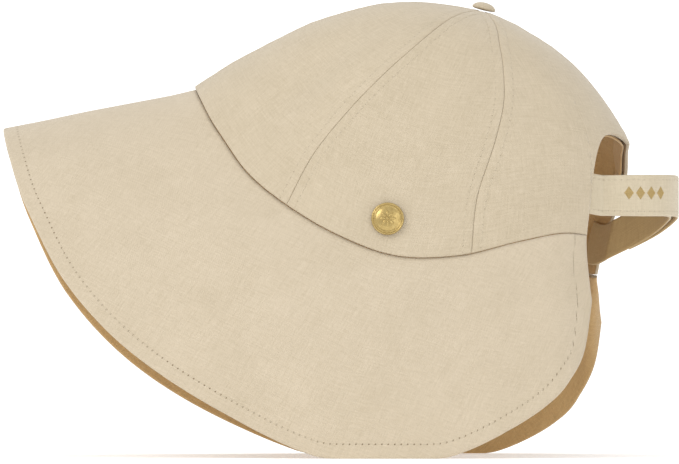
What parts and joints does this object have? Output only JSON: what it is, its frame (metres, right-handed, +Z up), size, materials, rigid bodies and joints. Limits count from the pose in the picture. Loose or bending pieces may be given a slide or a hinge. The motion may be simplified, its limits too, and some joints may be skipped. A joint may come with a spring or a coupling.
{
  "type": "sun bonnet",
  "caption": "Linen sun bonnet with a panelled cap crown, a wide drooping brim, an arched back opening with a strap, and a gold metal button on one side.",
  "frame": {"origin": "bottom centre of the bonnet's box, on the surface that it rests on", "axes": "+Z up as it rests; the front of the brim points along -Y, the back strap along +Y, and the wearer's left side with the metal button along +X"},
  "size_m": [0.214, 0.309, 0.2079],
  "materials": {
    "linen": "matte plain-weave linen, pale beige",
    "linen_inside": "matte woven tape, darker beige",
    "gold_metal": "polished gold-coloured metal"
  },
  "bodies": {
    "root": {"crown_front_left": "linen", "crown_front_right": "linen", "crown_side_left": "linen", "crown_side_right": "linen", "crown_back_left": "linen", "crown_back_right": "linen", "brim": "linen", "arch_facing": "linen_inside", "strap": "linen", "strap_tab": "linen", "closure_patch": "linen_inside", "top_button": "linen", "side_button": "gold_metal"}
  },
  "joints": []
}
